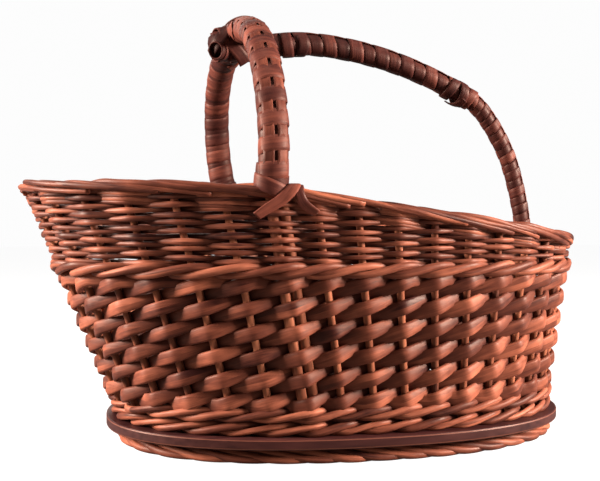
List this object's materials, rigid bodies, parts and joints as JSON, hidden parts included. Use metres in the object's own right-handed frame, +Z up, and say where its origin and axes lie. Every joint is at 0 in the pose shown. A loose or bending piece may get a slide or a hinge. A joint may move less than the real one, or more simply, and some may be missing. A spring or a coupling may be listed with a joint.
{
  "type": "egg collection basket",
  "caption": "Stained wicker basket on a board base, with a wrapped hoop handle across it and a wrapped arm to its low end, for gathering and carrying eggs.",
  "frame": {"origin": "on the ground under the middle of the whole basket's box", "axes": "+X along the basket towards its low end, +Y across it, +Z up"},
  "size_m": [0.4018, 0.2592, 0.2984],
  "materials": {
    "plywood": "dark stained plywood, satin",
    "stake_willow": "round peeled willow, red-brown stain, satin gloss",
    "weaver_willow": "thin peeled willow, red-brown stain, gloss",
    "body_willow": "thick split willow, red-brown stain, gloss",
    "skein": "flat willow skein, dark red-brown stain, gloss"
  },
  "bodies": {
    "root": {"base_board": "plywood", "side_stakes": "stake_willow", "foot_border": "stake_willow", "base_wale": "weaver_willow", "body_weave": "body_willow", "top_wale": "weaver_willow", "fine_rows": "weaver_willow", "rim_border": "stake_willow", "hoop_core": "stake_willow", "hoop_listers": "stake_willow", "hoop_wrap": "skein", "arm_core": "stake_willow", "arm_lister": "skein", "arm_wrap_upper": "skein", "arm_wrap_lower": "skein", "crown_lashing": "skein", "arm_tie": "skein", "near_leg_tie": "skein", "far_leg_tie": "skein", "arm_foot_tie": "skein"}
  },
  "joints": []
}
